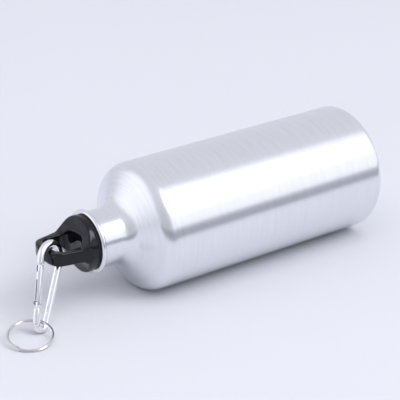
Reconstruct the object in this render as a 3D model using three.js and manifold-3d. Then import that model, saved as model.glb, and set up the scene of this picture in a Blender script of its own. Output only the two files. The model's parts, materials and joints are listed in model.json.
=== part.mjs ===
// Aluminium canteen lying on its side: bottle, screw cap with a carry loop, carabiner and key ring.
// Millimetres, +Z up. The bottle's axis runs along X, with its cap towards -X.
import * as THREE from "three";
import { mergeVertices } from "three/addons/utils/BufferGeometryUtils.js";
import Module from "manifold-3d";

const DEG = Math.PI / 180;

// ---- Fits ----
const gap = 0.3;                 // between pieces that touch, nest or turn in each other
const pinGap = 0.12;             // round a pin in its hole

// ---- Bottle ----
const bodyRadius = 36.5;
const bodyLength = 147;          // base plane to the start of the shoulder
const bodyWall = 0.8;
const baseCornerRadius = 4.2;
const baseRingWidth = 2.6;       // flat ring that the bottle stands on
const baseRecessDepth = 2.5;
const baseRecessRun = 4;         // radial run of the slope into the recess
const shoulderRadius = 9.2;
const shoulderSweep = 60.5 * DEG;
const neckFilletRadius = 9;
const neckRadius = 16;
const neckWall = 2.2;
const neckLength = 14.2;         // end of the fillet to the top of the lip
const neckTaperLength = 3;       // where the wall thickens inside the neck
const lipRadius = 1.5;           // rolled lip's section
const lipOverhang = 2;
const mouthChamfer = 0.8;

// ---- Screw thread, rolled inside the neck and moulded on the plug ----
const threadPitch = 4;
const threadRidge = 1;           // radius of the ridge's round section
const neckThreadTurns = 1.75;
const plugThreadTurns = 2;

// ---- Plug, gasket and cap ----
const plugWall = 2;
const plugFlangeThickness = 1.6;
const plugLead = 0.6;            // plain end below the plug's thread
const keyCount = 4;              // drive keys between the plug and the cap
const keyRadius = 9;
const keyLength = 4;
const keyWidth = 2;
const keyHeight = 1.2;
const gasketThickness = 0.7;
const gasketInset = 0.4;         // gasket's edge behind the cap's rim
const lipShow = 2;               // lip that shows round the cap's rim
const capWall = 1.5;
const capLength = 26.4;          // flange face to the loop's tip
const rimChamfer = 0.4;
const flareStart = 3;            // all four measured from the flange face
const flareBendReach = 4.5;
const flareEnd = 9.6;
const windowStart = 5;
const flareBendRise = 0.15;      // flare's bend above the loop's face
const loopThickness = 7.7;
const loopEdgeRadius = 2.4;
const loopTaper = 3.6;           // loop narrower than the rim where its side meets the rounded tip
const loopArmWidth = 2.8;        // window to that same place
const loopTipReach = 6.1;        // length of the rounded tip
const tipBarWidth = 5.1;
const windowCornerRadius = 4.5;

// ---- Carabiner ----
const carabinerLength = 50;
const wireDiameter = 4;
const barClearance = 1.35;       // top bend to the corners of the loop's bar
const ringClearance = 0.6;       // bottom bend to the corners of the key ring's section
const carabinerTurn = 15.2 * DEG;    // about the vertical
const carabinerLean = -10.6 * DEG;     // sideways
const barOffset = 0.25;          // bend's centre from the bar's centre, towards the bottle
const barDrop = 0.8;             // bend's centre below the bar's centre
const barSlide = 4.3;            // bend's centre along the bar, from its middle
const floorGap = 0.05;

// ---- Gate ----
const gateDiameter = 3.7;
const hingeHeight = 10.2;        // up the gate's leg from the bottom bend
const gateReach = 20.1;          // hinge to the gate's nose end
const gateTail = 1.3;            // below the hinge
const tongueThickness = 1.2;
const tongueHalfWidth = 1.1;
const hingePinDiameter = 1.2;
const rivetHeadDiameter = 2;
const rivetHeadHeight = 0.4;
const latchPinDiameter = 0.8;
const latchDepth = 1.7;          // latch pin's centre below the gate's nose end
const latchOffset = 0.35;        // latch pin's centre, inwards of the leg's centre line
const notchBack = 0.4;           // notch's floor, outwards of the leg's centre line
const hookLength = 3.1;          // nose tongue below the gate's nose end
const springLength = 7.4;
const springTurns = 7;
const springWireDiameter = 0.3;
const springMeanRadius = 0.55;
const plungerLength = 2.1;

// ---- Key ring ----
const keyRingDiameter = 25;
const keyRingTurns = 2;
const keyRingWireWidth = 1.2;    // across the ring
const keyRingWireThickness = 0.7;
const keyRingPitch = 0.78;       // one turn to the next
const keyRingHeading = -120 * DEG;   // the way it slopes down to the floor
const keyRingShift = 30 * DEG;       // from the ring's highest point to the carabiner

// ---- Facets ----
const bodyFacets = 32;
const pinFacets = 12;
const threadStepsPerTurn = 24;
const wireSteps = 60;

// ---- Finishes ----
const brushedAluminium = { color: 0xc9ccd2, metalness: 1, roughness: 0.32 };
const polishedAluminium = { color: 0xdfe2e6, metalness: 1, roughness: 0.16 };
const blackPlastic = { color: 0x0d0e11, metalness: 0, roughness: 0.18 };
const greyPlastic = { color: 0x2a2c30, metalness: 0, roughness: 0.4 };
const darkSilicone = { color: 0x17181a, metalness: 0, roughness: 0.6 };
const pinSteel = { color: 0xa9acb1, metalness: 1, roughness: 0.3 };
const springSteel = { color: 0x8d9096, metalness: 1, roughness: 0.35 };
const nickel = { color: 0xb9b6ae, metalness: 1, roughness: 0.22 };

// ---- Sizes that follow from the ones above, along the bottle's axis from its base ----
const shoulderEndRadius = bodyRadius - shoulderRadius * (1 - Math.cos(shoulderSweep));
const filletStartRadius = neckRadius + neckFilletRadius * (1 - Math.cos(shoulderSweep));
const coneLength = (shoulderEndRadius - filletStartRadius) / Math.tan(shoulderSweep);
const neckStart = bodyLength + (shoulderRadius + neckFilletRadius) * Math.sin(shoulderSweep) + coneLength;
const lipTop = neckStart + neckLength;
const boreRadius = neckRadius - neckWall;
const plugRadius = boreRadius - threadRidge - gap;
const neckThreadStart = lipTop - mouthChamfer - threadRidge - threadPitch * neckThreadTurns;
const plugThreadStart = neckThreadStart - threadPitch / 2;
const plugBottom = plugThreadStart - threadRidge - plugLead;
const gasketStart = lipTop + gap;
const flangeFace = gasketStart + gasketThickness + gap;
const recessDepth = plugFlangeThickness + gap;
const loopTip = flangeFace + capLength;
const barCentre = loopTip - tipBarWidth / 2;
const capRadius = neckRadius + lipOverhang - lipShow;
const loopHalfWidth = capRadius - loopTaper;
const windowHalfWidth = loopHalfWidth - loopArmWidth;
const flareBendHeight = loopThickness / 2 + flareBendRise;

// ---- Sizes that follow from the ones above, in the carabiner's own plane ----
const wireRadius = wireDiameter / 2;
const barCornerReach = Math.hypot(tipBarWidth / 2, loopThickness / 2);
const keyRingBundle = keyRingPitch * keyRingTurns + keyRingWireThickness;
const keyRingCornerReach = Math.hypot(keyRingWireWidth, keyRingBundle) / 2;
const topBendRadius = barCornerReach + wireRadius + barClearance;      // on the wire's centre line
const bottomBendRadius = keyRingCornerReach + wireRadius + ringClearance;
const topBendY = carabinerLength / 2 - wireRadius - topBendRadius;
const bottomBendY = -(carabinerLength / 2 - wireRadius - bottomBendRadius);
const bendDistance = topBendY - bottomBendY;
const legAngle = Math.asin((topBendRadius - bottomBendRadius) / bendDistance);
const legLength = bendDistance * Math.cos(legAngle);
const reachToFloor = bodyRadius - barDrop - bottomBendRadius - wireRadius - floorGap;
const fullReach = bendDistance * Math.cos(carabinerLean);
const carabinerSwing = Math.acos(Math.min(1, reachToFloor / fullReach));   // hangs free if above the floor
const keyRingRadius = (keyRingDiameter - keyRingWireWidth) / 2;
const springStart = tongueHalfWidth + 2 * gap + plungerLength + gap;

// ---- Mesh helpers ----
const wasm = await Module();
wasm.setup();

function signedVolume(geometry) {
  const { position } = geometry.attributes;
  const index = geometry.index.array;
  const corners = [new THREE.Vector3(), new THREE.Vector3(), new THREE.Vector3()];
  let sum = 0;
  for (let i = 0; i < index.length; i += 3) {
    corners.forEach((corner, k) => corner.fromBufferAttribute(position, index[i + k]));
    sum += corners[0].dot(corners[1].cross(corners[2])) / 6;
  }
  return sum;
}

// Shared vertices, no collapsed triangles and faces that point outwards.
function closedGeometry(geometry) {
  geometry.deleteAttribute("normal");
  geometry.deleteAttribute("uv");
  const merged = mergeVertices(geometry);
  const triangles = [];
  for (let i = 0; i < merged.index.count; i += 3) {
    const [a, b, c] = [0, 1, 2].map((k) => merged.index.getX(i + k));
    if (a !== b && b !== c && c !== a) triangles.push(a, b, c);
  }
  merged.setIndex(triangles);
  if (signedVolume(merged) < 0) merged.setIndex(triangles.reverse());
  return merged;
}

function toSolid(geometry) {
  const mesh = closedGeometry(geometry);
  const vertProperties = Float32Array.from(mesh.attributes.position.array);
  const triVerts = Uint32Array.from(mesh.index.array);
  return new wasm.Manifold(new wasm.Mesh({ numProp: 3, vertProperties, triVerts }));
}

function toGeometry(solid) {
  const mesh = solid.getMesh();
  const geometry = new THREE.BufferGeometry();
  geometry.setAttribute("position", new THREE.BufferAttribute(Float32Array.from(mesh.vertProperties), 3));
  geometry.setIndex(new THREE.BufferAttribute(Uint32Array.from(mesh.triVerts), 1));
  return geometry;
}

function namedMesh(name, geometry, finish) {
  const mesh = new THREE.Mesh(closedGeometry(geometry), new THREE.MeshStandardMaterial(finish));
  mesh.name = name;
  return mesh;
}

function pathPoints(path, divisions) {
  const kept = [];
  for (const point of path.getPoints(divisions)) {
    if (!kept.length || point.distanceTo(kept[kept.length - 1]) > 1e-4) kept.push(point);
  }
  return kept;
}

// A solid turned about Z from a profile of radius and height. Its flats, not its corners, are at the
// stated radius, and a flat faces each axis.
function turned(points, facets) {
  const corner = 1 / Math.cos(Math.PI / facets);
  const profile = points.map((point) => new THREE.Vector2(point.x * corner, point.y));
  const geometry = new THREE.LatheGeometry(profile, facets, Math.PI / facets);
  return geometry.rotateX(Math.PI / 2);
}

function rod(radius, from, to, facets) {
  const profile = [[0, from], [radius, from], [radius, to], [0, to]];
  return turned(profile.map(([x, y]) => new THREE.Vector2(x, y)), facets);
}

function plate(shape, thickness, curveSegments = 6) {
  const options = { depth: thickness, bevelEnabled: false, curveSegments };
  return new THREE.ExtrudeGeometry(shape, options).translate(0, 0, -thickness / 2);
}

function block(x0, x1, y0, y1, thickness) {
  const box = new THREE.BoxGeometry(x1 - x0, y1 - y0, thickness);
  return box.translate((x0 + x1) / 2, (y0 + y1) / 2, 0);
}

function sweep(section, path, steps, curveSegments = 6) {
  return new THREE.ExtrudeGeometry(section, { extrudePath: path, steps, curveSegments });
}

function circle(radius) {
  return new THREE.Shape().absarc(0, 0, radius, 0, 2 * Math.PI);
}

class Helix extends THREE.Curve {
  constructor(radius, start, pitch, turns) {
    super();
    Object.assign(this, { radius, start, pitch, turns });
  }

  getPoint(t, target = new THREE.Vector3()) {
    const turn = t * this.turns;
    const angle = turn * 2 * Math.PI;
    const height = this.start + turn * this.pitch;
    return target.set(this.radius * Math.cos(angle), this.radius * Math.sin(angle), height);
  }
}

class PlanarArc extends THREE.Curve {
  constructor(centreY, radius, from, to) {
    super();
    Object.assign(this, { centreY, radius, from, to });
  }

  getPoint(t, target = new THREE.Vector3()) {
    const angle = this.from + t * (this.to - this.from);
    return target.set(this.radius * Math.cos(angle), this.centreY + this.radius * Math.sin(angle), 0);
  }
}

// ---- Bottle ----
function bottleProfile() {
  const ringOuter = bodyRadius - baseCornerRadius;
  const ringInner = ringOuter - baseRingWidth;
  const recessRadius = ringInner - baseRecessRun;
  const filletCentre = neckRadius + neckFilletRadius;
  const shoulderCentre = bodyRadius - shoulderRadius;
  const lipCentre = neckRadius + lipOverhang - lipRadius;
  const lipFrom = -Math.acos((neckRadius - lipCentre) / lipRadius);
  const path = new THREE.Path();
  path.moveTo(0, baseRecessDepth);
  path.lineTo(recessRadius, baseRecessDepth);
  path.lineTo(ringInner, 0);
  path.absarc(ringOuter, baseCornerRadius, baseCornerRadius, -Math.PI / 2, 0);
  path.absarc(shoulderCentre, bodyLength, shoulderRadius, 0, shoulderSweep);
  path.absarc(filletCentre, neckStart, neckFilletRadius, Math.PI + shoulderSweep, Math.PI, true);
  path.absarc(lipCentre, lipTop - lipRadius, lipRadius, lipFrom, Math.PI / 2);
  path.lineTo(boreRadius + mouthChamfer, lipTop);
  path.lineTo(boreRadius, lipTop - mouthChamfer);
  path.lineTo(boreRadius, neckStart + neckTaperLength);
  path.absarc(filletCentre, neckStart, neckFilletRadius + bodyWall, Math.PI, Math.PI + shoulderSweep);
  path.absarc(shoulderCentre, bodyLength, shoulderRadius - bodyWall, shoulderSweep, 0, true);
  path.absarc(ringOuter, baseCornerRadius, baseCornerRadius - bodyWall, 0, -Math.PI / 2, true);
  path.lineTo(ringInner, bodyWall);
  path.lineTo(recessRadius, baseRecessDepth + bodyWall);
  path.lineTo(0, baseRecessDepth + bodyWall);
  return pathPoints(path, 3);
}

function threadCoil(radius, start, turns) {
  const path = new Helix(radius, start, threadPitch, turns);
  return sweep(circle(threadRidge), path, Math.round(threadStepsPerTurn * turns), 4);
}

function bottleShell() {
  const shell = toSolid(turned(bottleProfile(), bodyFacets));
  const thread = toSolid(threadCoil(boreRadius, neckThreadStart, neckThreadTurns));
  return toGeometry(shell.add(thread));
}

// ---- Cap ----
function plugKeys(clearance) {
  const keys = [];
  for (let i = 0; i < keyCount; i += 1) {
    const halfLength = keyLength / 2 + clearance;
    const halfWidth = keyWidth / 2 + clearance;
    const top = keyHeight + clearance;
    const key = block(keyRadius - halfLength, keyRadius + halfLength, -halfWidth, halfWidth, 2 * top);
    key.rotateZ((i + 0.5) * 2 * Math.PI / keyCount);
    keys.push(toSolid(key.translate(0, 0, flangeFace + plugFlangeThickness + clearance)));
  }
  return keys;
}

function threadedPlug() {
  const flangeTop = flangeFace + plugFlangeThickness;
  const flangeRadius = capRadius - capWall - gap;
  const points = [
    [0, flangeTop], [flangeRadius, flangeTop], [flangeRadius, flangeFace], [plugRadius, flangeFace],
    [plugRadius, plugBottom], [plugRadius - plugWall, plugBottom], [plugRadius - plugWall, flangeFace],
    [0, flangeFace],
  ];
  const body = toSolid(turned(points.map(([x, y]) => new THREE.Vector2(x, y)), bodyFacets));
  const thread = toSolid(threadCoil(plugRadius, plugThreadStart, plugThreadTurns));
  const bore = toSolid(rod(plugRadius - plugWall, plugBottom - 1, flangeFace, bodyFacets));
  const plug = plugKeys(0).reduce((solid, key) => solid.add(key), body.add(thread));
  return toGeometry(plug.subtract(bore));
}

function sealingGasket() {
  const inner = plugRadius + gap;
  const outer = capRadius - gasketInset;
  const top = gasketStart + gasketThickness;
  const points = [[inner, gasketStart], [outer, gasketStart], [outer, top], [inner, top], [inner, gasketStart]];
  return turned(points.map(([x, y]) => new THREE.Vector2(x, y)), bodyFacets);
}

// The cap's outline from the side: distance along the axis against half height.
function capSideShape() {
  const halfThickness = loopThickness / 2;
  const shoulder = flangeFace + flareStart;
  const bend = flangeFace + flareBendReach;
  const flareFoot = flangeFace + flareEnd;
  const outside = capRadius + 1;
  const shape = new THREE.Shape();
  shape.moveTo(flangeFace - 1, -outside);
  shape.lineTo(shoulder, -outside);
  shape.lineTo(shoulder, -capRadius);
  shape.quadraticCurveTo(bend, -flareBendHeight, flareFoot, -halfThickness);
  shape.absarc(loopTip - loopEdgeRadius, loopEdgeRadius - halfThickness, loopEdgeRadius, -Math.PI / 2, 0);
  shape.absarc(loopTip - loopEdgeRadius, halfThickness - loopEdgeRadius, loopEdgeRadius, 0, Math.PI / 2);
  shape.lineTo(flareFoot, halfThickness);
  shape.quadraticCurveTo(bend, flareBendHeight, shoulder, capRadius);
  shape.lineTo(shoulder, outside);
  shape.lineTo(flangeFace - 1, outside);
  return shape;
}

// The cap's outline from above: distance along the axis against half width.
function capPlanShape() {
  const shoulder = flangeFace + flareStart;
  const cornerStart = loopTip - loopTipReach;
  const cornerBend = cornerStart + 0.62 * loopTipReach;
  const outside = capRadius + 1;
  const shape = new THREE.Shape();
  shape.moveTo(flangeFace - 1, -outside);
  shape.lineTo(shoulder, -outside);
  shape.lineTo(shoulder, -capRadius);
  shape.lineTo(cornerStart, -loopHalfWidth);
  shape.bezierCurveTo(cornerBend, 0.05 * loopTipReach - loopHalfWidth, loopTip, -0.57 * loopHalfWidth, loopTip, 0);
  shape.bezierCurveTo(loopTip, 0.57 * loopHalfWidth, cornerBend, loopHalfWidth - 0.05 * loopTipReach,
    cornerStart, loopHalfWidth);
  shape.lineTo(shoulder, capRadius);
  shape.lineTo(shoulder, outside);
  shape.lineTo(flangeFace - 1, outside);
  return shape;
}

function windowShape() {
  const start = flangeFace + windowStart + windowCornerRadius;
  const end = loopTip - tipBarWidth - windowCornerRadius;
  const side = windowHalfWidth - windowCornerRadius;
  const shape = new THREE.Shape();
  shape.absarc(end, side, windowCornerRadius, 0, Math.PI / 2);
  shape.absarc(start, side, windowCornerRadius, Math.PI / 2, Math.PI);
  shape.absarc(start, -side, windowCornerRadius, Math.PI, 1.5 * Math.PI);
  shape.absarc(end, -side, windowCornerRadius, 1.5 * Math.PI, 2 * Math.PI);
  return shape;
}

// A drawing whose first axis is the bottle's axis, seen from the side or from above.
function throughCap(shape, seenFromAbove, curveSegments) {
  const along = new THREE.Vector3(0, 0, 1);
  const across = seenFromAbove ? new THREE.Vector3(0, -1, 0) : new THREE.Vector3(1, 0, 0);
  const depth = seenFromAbove ? new THREE.Vector3(1, 0, 0) : new THREE.Vector3(0, 1, 0);
  const place = new THREE.Matrix4().makeBasis(along, across, depth);
  return toSolid(plate(shape, 2 * capRadius + 2, curveSegments).applyMatrix4(place));
}

function capShell() {
  const points = [
    [0, flangeFace], [capRadius - rimChamfer, flangeFace], [capRadius, flangeFace + rimChamfer],
    [capRadius, loopTip], [0, loopTip],
  ];
  const blank = toSolid(turned(points.map(([x, y]) => new THREE.Vector2(x, y)), bodyFacets));
  const recess = toSolid(rod(capRadius - capWall, flangeFace - 1, flangeFace + recessDepth, bodyFacets));
  const shaped = blank
    .intersect(throughCap(capSideShape(), false, 7))
    .intersect(throughCap(capPlanShape(), true, 6))
    .subtract(throughCap(windowShape(), true, 2))
    .subtract(recess);
  return toGeometry(plugKeys(gap).reduce((solid, pocket) => solid.subtract(pocket), shaped));
}

// ---- Carabiner, in its own plane: x from the gate to the spine, y towards the cap ----
function legPoint(side, height) {
  const outwards = side * Math.cos(legAngle);
  const footX = bottomBendRadius * outwards;
  const footY = bottomBendY - bottomBendRadius * Math.sin(legAngle);
  const x = footX + side * Math.sin(legAngle) * height;
  return new THREE.Vector3(x, footY + Math.cos(legAngle) * height, 0);
}

function carabinerPath() {
  const noseStart = hingeHeight + gateReach + gap;
  const footEnd = hingeHeight - Math.hypot(gateTail, gateDiameter / 2) - gap;
  const path = new THREE.CurvePath();
  path.add(new THREE.LineCurve3(legPoint(-1, noseStart), legPoint(-1, legLength)));
  path.add(new PlanarArc(topBendY, topBendRadius, Math.PI + legAngle, -legAngle));
  path.add(new THREE.LineCurve3(legPoint(1, legLength), legPoint(1, 0)));
  path.add(new PlanarArc(bottomBendY, bottomBendRadius, -legAngle, legAngle - Math.PI));
  path.add(new THREE.LineCurve3(legPoint(-1, 0), legPoint(-1, footEnd)));
  return path;
}

// Places a drawing made round the hinge, with y up the gate's leg, in the carabiner's plane.
function atHinge(geometry) {
  const hinge = legPoint(-1, hingeHeight);
  return geometry.rotateZ(legAngle).translate(hinge.x, hinge.y, 0);
}

function footTongue() {
  const shape = new THREE.Shape();
  shape.moveTo(-tongueHalfWidth, -2 * gateTail - gateDiameter / 2);
  shape.lineTo(tongueHalfWidth, -2 * gateTail - gateDiameter / 2);
  shape.absarc(0, 0, tongueHalfWidth, 0, Math.PI);
  return plate(shape, tongueThickness, 4);
}

function noseHook() {
  const latchY = gateReach - latchDepth;
  const notch = latchPinDiameter / 2 + gap;
  const shape = new THREE.Shape();
  shape.moveTo(-tongueHalfWidth, gateReach - hookLength);
  shape.lineTo(tongueHalfWidth, gateReach - hookLength);
  shape.lineTo(tongueHalfWidth, latchY - notch);
  shape.lineTo(-notchBack, latchY - notch);
  shape.lineTo(-notchBack, latchY + notch);
  shape.lineTo(tongueHalfWidth, latchY + notch);
  shape.lineTo(tongueHalfWidth, gateReach + 2 * gap + 1);
  shape.lineTo(-tongueHalfWidth, gateReach + 2 * gap + 1);
  return plate(shape, tongueThickness);
}

function carabinerFrame() {
  const wire = toSolid(sweep(circle(wireRadius), carabinerPath(), wireSteps));
  const foot = toSolid(atHinge(footTongue()));
  const nose = toSolid(atHinge(noseHook()));
  const pinHole = rod(hingePinDiameter / 2 + pinGap, -wireDiameter, wireDiameter, pinFacets);
  return toGeometry(wire.add(foot).add(nose).subtract(toSolid(atHinge(pinHole))));
}

// Gate pieces are drawn round the hinge, with y up the gate.
function alongGate(geometry) {
  return geometry.rotateX(-Math.PI / 2);
}

function gateSleeve() {
  const slot = tongueThickness + 2 * gap;
  const radius = gateDiameter / 2;
  const boreRadiusInGate = springMeanRadius + springWireDiameter / 2 + 0.2;
  const boreEnd = springStart + springLength + gap;
  const footSlotEnd = tongueHalfWidth + gap;
  const body = toSolid(alongGate(rod(radius, -gateTail, gateReach, 2 * pinFacets)));
  const bore = toSolid(alongGate(rod(boreRadiusInGate, 0, boreEnd, pinFacets)));
  const footSlot = toSolid(block(-gateDiameter, gateDiameter, -gateTail - 1, footSlotEnd, slot));
  const noseSlot = toSolid(block(-gateDiameter, gateDiameter, gateReach - hookLength - gap, gateReach + 1, slot));
  const hingeHole = toSolid(rod(hingePinDiameter / 2 + pinGap, -gateDiameter, gateDiameter, pinFacets));
  const latchHole = rod(latchPinDiameter / 2 + pinGap, -gateDiameter, gateDiameter, pinFacets);
  latchHole.translate(latchOffset, gateReach - latchDepth, 0);
  return toGeometry([bore, footSlot, noseSlot, hingeHole, toSolid(latchHole)]
    .reduce((solid, cut) => solid.subtract(cut), body));
}

function hingeRivet() {
  const underHead = gateDiameter / 2 + pinGap;
  const top = underHead + rivetHeadHeight;
  const points = [
    [0, -top], [rivetHeadDiameter / 2, -top], [rivetHeadDiameter / 2, -underHead],
    [hingePinDiameter / 2, -underHead], [hingePinDiameter / 2, underHead],
    [rivetHeadDiameter / 2, underHead], [rivetHeadDiameter / 2, top], [0, top],
  ];
  return turned(points.map(([x, y]) => new THREE.Vector2(x, y)), pinFacets);
}

function latchPin() {
  const halfLength = gateDiameter / 2 - pinGap;
  const pin = rod(latchPinDiameter / 2, -halfLength, halfLength, pinFacets);
  return pin.translate(latchOffset, gateReach - latchDepth, 0);
}

function springPlunger() {
  const start = tongueHalfWidth + 2 * gap;
  return alongGate(rod(springMeanRadius, start, start + plungerLength, pinFacets));
}

function gateSpring() {
  const wireRadiusOfSpring = springWireDiameter / 2;
  const rise = springLength - springWireDiameter;
  const path = new Helix(springMeanRadius, springStart + wireRadiusOfSpring, rise / springTurns, springTurns);
  return alongGate(sweep(circle(wireRadiusOfSpring), path, springTurns * 10, 3));
}

// ---- Key ring, lying in XY round its own centre ----
function splitKeyRing() {
  const halfWidth = keyRingWireWidth / 2;
  const halfThickness = keyRingWireThickness / 2;
  const bevel = 0.2;
  const section = new THREE.Shape();
  section.moveTo(-halfWidth + bevel, -halfThickness);
  section.lineTo(halfWidth - bevel, -halfThickness);
  section.lineTo(halfWidth, -halfThickness + bevel);
  section.lineTo(halfWidth, halfThickness - bevel);
  section.lineTo(halfWidth - bevel, halfThickness);
  section.lineTo(-halfWidth + bevel, halfThickness);
  section.lineTo(-halfWidth, halfThickness - bevel);
  section.lineTo(-halfWidth, -halfThickness + bevel);
  const path = new Helix(keyRingRadius, -keyRingPitch * keyRingTurns / 2, keyRingPitch, keyRingTurns);
  return sweep(section, path, 36 * keyRingTurns);
}

// ---- Assembly ----
// Turns a piece drawn with the bottle's axis along Z so that the cap points to -X and X becomes up.
function layDown(group) {
  group.rotation.y = -Math.PI / 2;
  group.position.z = bodyRadius;
}

function buildBottle() {
  const group = new THREE.Group();
  group.add(
    namedMesh("bottle_shell", bottleShell(), brushedAluminium),
    namedMesh("threaded_plug", threadedPlug(), greyPlastic),
    namedMesh("sealing_gasket", sealingGasket(), darkSilicone),
    namedMesh("cap_shell", capShell(), blackPlastic),
  );
  layDown(group);
  return group;
}

function buildGate() {
  const group = new THREE.Group();
  group.add(
    namedMesh("gate_sleeve", gateSleeve(), polishedAluminium),
    namedMesh("gate_hinge_rivet", hingeRivet(), pinSteel),
    namedMesh("gate_latch_pin", latchPin(), pinSteel),
    namedMesh("spring_plunger", springPlunger(), pinSteel),
    namedMesh("gate_spring", gateSpring(), springSteel),
  );
  group.position.copy(legPoint(-1, hingeHeight));
  group.rotation.z = legAngle;
  return group;
}

// The ring passes through the bottom bend, and its lowest point rests on the floor.
function buildKeyRing(bend) {
  const span = keyRingRadius * (1 + Math.cos(keyRingShift));
  const halfBundle = keyRingBundle / 2;
  const steepest = Math.hypot(span, halfBundle);
  const rise = Math.min(1, (bend.z - floorGap) / steepest);            // hangs free if above the floor
  const slope = Math.asin(rise) - Math.atan2(halfBundle, span);
  const heading = new THREE.Vector3(Math.cos(keyRingHeading), Math.sin(keyRingHeading), 0);
  const downhill = heading.clone().multiplyScalar(Math.cos(slope));
  downhill.z = -Math.sin(slope);
  const level = new THREE.Vector3(0, 0, 1).cross(heading);
  const away = downhill.multiplyScalar(Math.cos(keyRingShift)).addScaledVector(level, -Math.sin(keyRingShift));
  const normal = heading.multiplyScalar(Math.sin(slope));
  normal.z = Math.cos(slope);
  const across = new THREE.Vector3().crossVectors(normal, away);
  const ring = namedMesh("split_key_ring", splitKeyRing(), nickel);
  ring.quaternion.setFromRotationMatrix(new THREE.Matrix4().makeBasis(away, across, normal));
  ring.position.copy(bend).addScaledVector(away, keyRingRadius);
  return ring;
}

function buildCarabiner() {
  const plane = new THREE.Group();
  plane.add(namedMesh("carabiner_frame", carabinerFrame(), polishedAluminium), buildGate());
  plane.position.y = -topBendY;
  const upright = new THREE.Group();
  upright.add(plane);
  upright.rotation.x = Math.PI / 2;
  const hung = new THREE.Group();
  hung.add(upright);
  hung.rotation.set(carabinerLean, carabinerSwing, carabinerTurn, "ZYX");
  hung.position.set(-barCentre + barOffset, -barSlide, bodyRadius - barDrop);
  hung.updateMatrixWorld(true);
  const bend = plane.localToWorld(new THREE.Vector3(0, bottomBendY, 0));
  const group = new THREE.Group();
  group.add(hung, buildKeyRing(bend));
  return group;
}

// The origin is on the floor, under the middle of the whole object.
function centreOnFloor(group) {
  group.updateMatrixWorld(true);
  const box = new THREE.Box3().setFromObject(group, true);
  const middle = box.getCenter(new THREE.Vector3());
  group.position.set(-middle.x, -middle.y, -box.min.z);
}

const canteen = new THREE.Group();
canteen.add(buildBottle(), buildCarabiner());
centreOnFloor(canteen);

export default canteen;
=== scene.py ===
"""Finished look of an aluminium canteen lying on its side, with screw cap, carabiner and key ring.

Every piece is drawn in millimetres round its own natural axis and then seated in the shared frame, so that
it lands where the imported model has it.
"""
import functools
import json
import logging
import math
from dataclasses import dataclass, field, replace
from enum import Enum
from typing import Iterable, Union

import bmesh
import bpy
from mathutils import Matrix, Vector


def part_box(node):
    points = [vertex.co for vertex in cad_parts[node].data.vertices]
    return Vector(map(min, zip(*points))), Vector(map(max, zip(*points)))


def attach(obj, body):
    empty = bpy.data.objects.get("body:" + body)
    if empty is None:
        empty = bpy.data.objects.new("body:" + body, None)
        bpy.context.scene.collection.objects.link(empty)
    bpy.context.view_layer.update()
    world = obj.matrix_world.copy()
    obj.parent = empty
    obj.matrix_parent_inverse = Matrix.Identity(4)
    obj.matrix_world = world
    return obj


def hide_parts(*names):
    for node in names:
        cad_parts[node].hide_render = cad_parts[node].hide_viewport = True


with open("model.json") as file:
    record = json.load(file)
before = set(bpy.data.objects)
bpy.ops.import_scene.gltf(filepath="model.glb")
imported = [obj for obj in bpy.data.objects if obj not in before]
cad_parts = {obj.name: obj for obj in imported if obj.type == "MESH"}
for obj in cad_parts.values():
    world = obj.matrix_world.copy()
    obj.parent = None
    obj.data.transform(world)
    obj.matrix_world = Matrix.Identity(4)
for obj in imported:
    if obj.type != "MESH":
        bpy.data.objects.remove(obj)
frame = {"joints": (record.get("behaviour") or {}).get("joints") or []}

LOG = logging.getLogger("canteen")
MM = 0.001
DOUBLES = 1e-4
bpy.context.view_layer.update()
Pair = tuple[float, float]
Triple = tuple[float, float, float]
Colour = Triple
Outline = list[Pair]


# ---------------------------------------------------------------- shaders

class Signal:
    """A shader socket that takes part in Python sums; each sum adds its Math node."""

    def __init__(self, surface: "Surface", socket: bpy.types.NodeSocket) -> None:
        """Wraps a socket.

        Args:
            surface: The surface whose nodes the sums are added to.
            socket: The output socket that carries the value.
        """
        self.surface = surface
        self.socket = socket

    def maths(self, operation: str, first: "Value", second: "Value") -> "Signal":
        """Adds one Math node.

        Args:
            operation: The Math node's operation.
            first: First operand.
            second: Second operand.

        Returns:
            The result as a new signal.
        """
        node = self.surface.node("ShaderNodeMath", {"operation": operation}, {0: first, 1: second})
        return Signal(self.surface, node.outputs[0])

    def __add__(self, other: "Value") -> "Signal":
        """This plus other."""
        return self.maths("ADD", self, other)

    def __radd__(self, other: "Value") -> "Signal":
        """Other plus this."""
        return self.maths("ADD", other, self)

    def __sub__(self, other: "Value") -> "Signal":
        """This minus other."""
        return self.maths("SUBTRACT", self, other)

    def __rsub__(self, other: "Value") -> "Signal":
        """Other minus this."""
        return self.maths("SUBTRACT", other, self)

    def __mul__(self, other: "Value") -> "Signal":
        """This times other."""
        return self.maths("MULTIPLY", self, other)

    def __rmul__(self, other: "Value") -> "Signal":
        """Other times this."""
        return self.maths("MULTIPLY", other, self)


Value = Union[float, int, Signal]


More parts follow.
